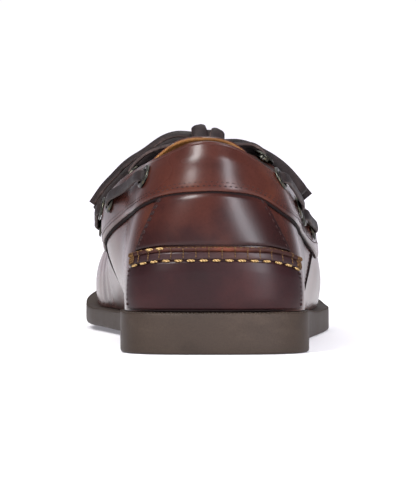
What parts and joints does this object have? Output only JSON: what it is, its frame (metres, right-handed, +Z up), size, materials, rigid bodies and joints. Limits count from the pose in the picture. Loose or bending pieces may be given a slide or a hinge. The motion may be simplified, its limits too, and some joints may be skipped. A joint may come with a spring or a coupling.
{
  "type": "boat shoe",
  "caption": "Right boat shoe in glossy brown leather: moccasin toe seam, rawhide lace round the collar through metal eyelets and tied over the tongue, flat siped rubber sole.",
  "frame": {"origin": "on the floor under the middle of the heel", "axes": "+Y towards the toe, +X towards the outer side of the right foot, +Z up"},
  "size_m": [0.1103, 0.2983, 0.0927],
  "materials": {
    "leather": "glossy, fine grain",
    "dark_leather": "glossy, fine grain",
    "lining": "matt, smooth",
    "rubber_sole": "matt",
    "rawhide": "satin",
    "eyelet_metal": "satin"
  },
  "bodies": {
    "root": {"outsole": "rubber_sole", "insole": "lining", "upper": "leather", "tongue": "lining", "collar_band": "leather", "back_panel": "leather", "heel_counter": "dark_leather", "eyelet_outer_1": "eyelet_metal", "eyelet_outer_2": "eyelet_metal", "eyelet_outer_3": "eyelet_metal", "eyelet_outer_4": "eyelet_metal", "eyelet_outer_5": "eyelet_metal", "eyelet_outer_6": "eyelet_metal", "eyelet_inner_1": "eyelet_metal", "eyelet_inner_2": "eyelet_metal", "eyelet_inner_3": "eyelet_metal", "eyelet_inner_4": "eyelet_metal", "eyelet_inner_5": "eyelet_metal", "eyelet_inner_6": "eyelet_metal", "lace_bar": "rawhide", "lace_run_outer_1": "rawhide", "lace_run_outer_2": "rawhide", "lace_stretch_outer": "rawhide", "lace_run_inner_1": "rawhide", "lace_run_inner_2": "rawhide", "lace_stretch_inner": "rawhide", "lace_knot": "rawhide", "lace_tail_outer": "rawhide", "lace_loop_outer": "rawhide", "lace_tail_inner": "rawhide", "lace_loop_inner": "rawhide"}
  },
  "joints": []
}
